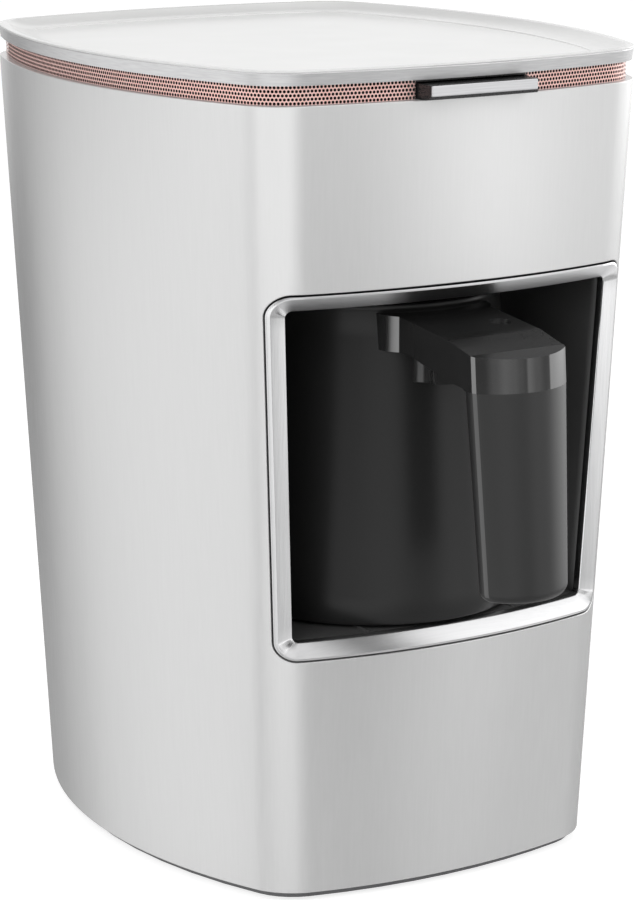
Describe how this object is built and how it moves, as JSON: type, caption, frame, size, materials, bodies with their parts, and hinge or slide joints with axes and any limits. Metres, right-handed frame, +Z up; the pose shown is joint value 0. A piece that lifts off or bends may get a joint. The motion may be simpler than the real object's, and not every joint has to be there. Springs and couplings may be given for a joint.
{
  "type": "electric turkish coffee maker",
  "caption": "Tapered countertop coffee maker: a small handled pot stands on a heated floor in a framed bay, under a push key, a perforated ring and a cup tray.",
  "frame": {"origin": "on the table, in the middle of the whole footprint, with the pot in place", "axes": "+Z up; the bay and the grip of the pot face -Y; +X points to the right hand of someone who looks along +Y at the front"},
  "size_m": [0.1728, 0.241, 0.265],
  "materials": {
    "silver_skin": "satin silver with fine upright streaks",
    "plinth_grey": "fine grain",
    "foot_rubber": "matt",
    "zinc": "bright zinc",
    "black_matt": "matt black",
    "rose_metal": "satin rose, perforated",
    "tray_white": "glossy white",
    "band_silver": "satin",
    "trim_chrome": "polished",
    "plate_steel": "turned, dark",
    "cast_aluminium": "cast",
    "element_steel": "oxidised sheath",
    "contact_brass": "bare",
    "sheet_steel": "galvanised sheet",
    "sensor_body": "ceramic",
    "sensor_window": "dark red, clear",
    "board_green": "solder mask",
    "relay_blue": "moulded",
    "core_iron": "varnished core",
    "block_green": "moulded",
    "key_black": "semi-gloss black",
    "key_silver": "satin plate",
    "button_red": "moulded",
    "pot_black": "satin black",
    "pan_steel": "stainless",
    "seal_red": "silicone",
    "bracket_gloss": "piano black",
    "grip_satin": "soft satin"
  },
  "bodies": {
    "housing": {"outer_shell": "silver_skin", "base_plate": "plinth_grey", "foot_front_left": "foot_rubber", "foot_front_right": "foot_rubber", "foot_rear_left": "foot_rubber", "foot_rear_right": "foot_rubber", "base_screws": "zinc", "cord_gland": "black_matt", "top_carrier": "black_matt", "vent_ring": "rose_metal", "top_tray": "tray_white", "tray_band": "band_silver", "bay_trim": "trim_chrome", "bay_liner": "black_matt", "bay_floor": "black_matt", "hot_plate": "plate_steel", "heat_spreader": "cast_aluminium", "heating_element": "element_steel", "element_terminals": "contact_brass", "heater_cup": "sheet_steel", "cup_screws": "zinc", "temperature_sensor": "sensor_body", "thermal_fuse": "sensor_body", "foam_window": "sensor_window", "foam_housing": "black_matt", "foam_board": "board_green", "control_board": "board_green", "board_screws": "zinc", "key_relay": "relay_blue", "key_chip": "black_matt", "buzzer": "black_matt", "power_board": "board_green", "transformer": "core_iron", "power_relay": "relay_blue", "capacitor": "black_matt", "terminal_block": "block_green", "key_guide": "key_black", "guide_screws": "zinc", "key_switch": "black_matt"},
    "start_key": {"start_key": "key_black", "key_face": "key_silver", "key_clips": "zinc", "switch_button": "button_red", "key_springs": "zinc"},
    "coffee_pot": {"pot_body": "pot_black", "pot_pan": "pan_steel", "pot_seal": "seal_red", "handle_bracket": "bracket_gloss", "handle_grip": "grip_satin", "grip_screw": "zinc"}
  },
  "joints": [
    {"name": "start_key_press", "type": "slide", "parent": "housing", "child": "start_key", "axis": [0, 1, 0], "range_m": [0, 0.002], "stiffness_N_per_m": 250, "springref_m": -0.004, "deforming": ["key_springs"]},
    {"name": "coffee_pot_slide", "type": "slide", "parent": "housing", "child": "coffee_pot", "axis": [0, -1, 0], "range_m": [0, 0.13]}
  ]
}
